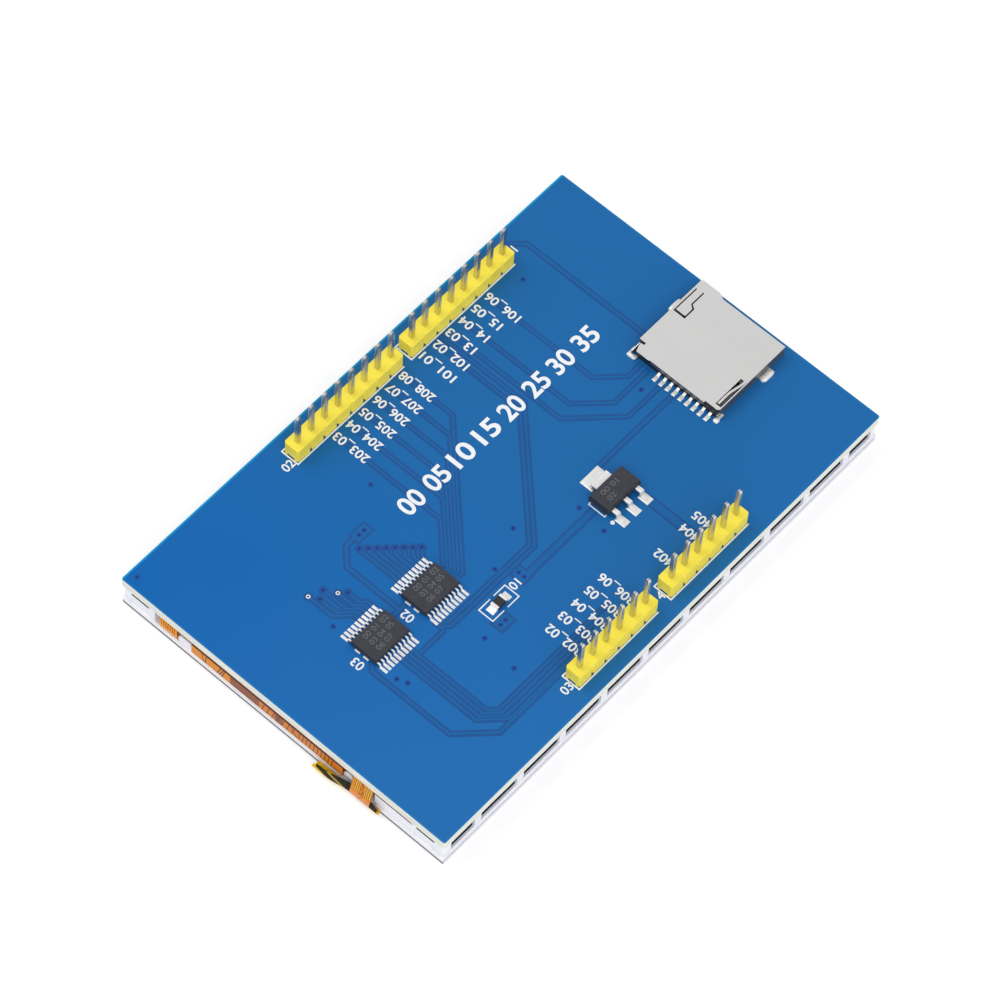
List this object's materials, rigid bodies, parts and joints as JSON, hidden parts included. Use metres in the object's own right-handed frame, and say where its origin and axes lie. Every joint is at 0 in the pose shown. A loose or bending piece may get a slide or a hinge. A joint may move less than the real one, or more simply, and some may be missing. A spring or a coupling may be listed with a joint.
{
  "type": "tft display module",
  "caption": "Colour display shield: a resistive touch panel and display under a blue circuit board, with yellow pin headers, level shifter chips and a memory card socket.",
  "frame": {"origin": "middle of the board's outline, on the outer face of the touch panel", "axes": "+X along the long side from the flex cable edge to the card socket edge, +Y to the two pin rows of eight, +Z along the pins"},
  "size_m": [0.0863, 0.0554, 0.014],
  "materials": {
    "solder_mask": "gloss blue solder mask over glass fibre laminate",
    "header_plastic": "satin yellow moulded plastic",
    "pin_metal": "bright tin plate",
    "solder": "bright solder",
    "chip_plastic": "matt black moulding compound",
    "lead_metal": "satin tin plate",
    "resistor_body": "black resistor glaze",
    "shell_steel": "satin nickel-plated sheet steel",
    "socket_plastic": "black liquid crystal polymer",
    "contact_gold": "gold-plated copper alloy",
    "slider_plastic": "ivory moulded plastic",
    "spring_steel": "drawn stainless wire",
    "touch_film_pet": "clear hard-coated film over the dark panel",
    "gasket_adhesive": "dark printed adhesive ring",
    "touch_glass_clear": "clear float glass",
    "touch_polyimide": "amber polyimide cable",
    "tape_white": "white double-sided tape",
    "polarizer_film": "dark polarizer film",
    "display_glass": "clear display glass",
    "silicon": "ground silicon",
    "display_polyimide": "amber polyimide cable with copper tracks",
    "led_polyimide": "bright amber polyimide cable",
    "led_white": "white lamp body with pale yellow phosphor",
    "optical_film": "pale optical film",
    "guide_acrylic": "clear acrylic sheet",
    "reflector_film": "white reflector film",
    "frame_white": "satin white moulded plastic",
    "shield_black": "black film",
    "foam_tape": "dark foam tape"
  },
  "bodies": {
    "module": {"board": "solder_mask", "header_j1": "header_plastic", "header_j2": "header_plastic", "header_j3": "header_plastic", "header_j4": "header_plastic", "pins_j1": "pin_metal", "pins_j2": "pin_metal", "pins_j3": "pin_metal", "pins_j4": "pin_metal", "pin_solder": "solder", "chip_u2": "chip_plastic", "chip_u2_leads": "lead_metal", "chip_u3": "chip_plastic", "chip_u3_leads": "lead_metal", "regulator": "chip_plastic", "regulator_leads": "lead_metal", "regulator_tab": "lead_metal", "resistor": "resistor_body", "resistor_caps": "lead_metal", "socket_shell": "shell_steel", "socket_base": "socket_plastic", "card_contacts": "contact_gold", "detect_contact": "contact_gold", "eject_spring": "spring_steel", "cam_follower": "spring_steel", "touch_film": "touch_film_pet", "touch_gasket": "gasket_adhesive", "touch_glass": "touch_glass_clear", "touch_flex": "touch_polyimide", "panel_tape": "tape_white", "front_polarizer": "polarizer_film", "front_glass": "display_glass", "rear_glass": "display_glass", "rear_polarizer": "polarizer_film", "driver_chip": "silicon", "main_flex": "display_polyimide", "led_flex": "led_polyimide", "leds": "led_white", "prism_film": "optical_film", "diffuser_film": "optical_film", "light_guide": "guide_acrylic", "reflector": "reflector_film", "backlight_frame": "frame_white", "rear_shield": "shield_black", "tape_front": "foam_tape", "tape_back": "foam_tape"},
    "slider": {"card_slider": "slider_plastic"}
  },
  "joints": [
    {"name": "card_push", "type": "slide", "parent": "module", "child": "slider", "axis": [-1, 0, 0], "range_m": [0, 0.004], "stiffness_N_per_m": 150, "springref_m": -0.001, "deforming": ["eject_spring"]}
  ]
}
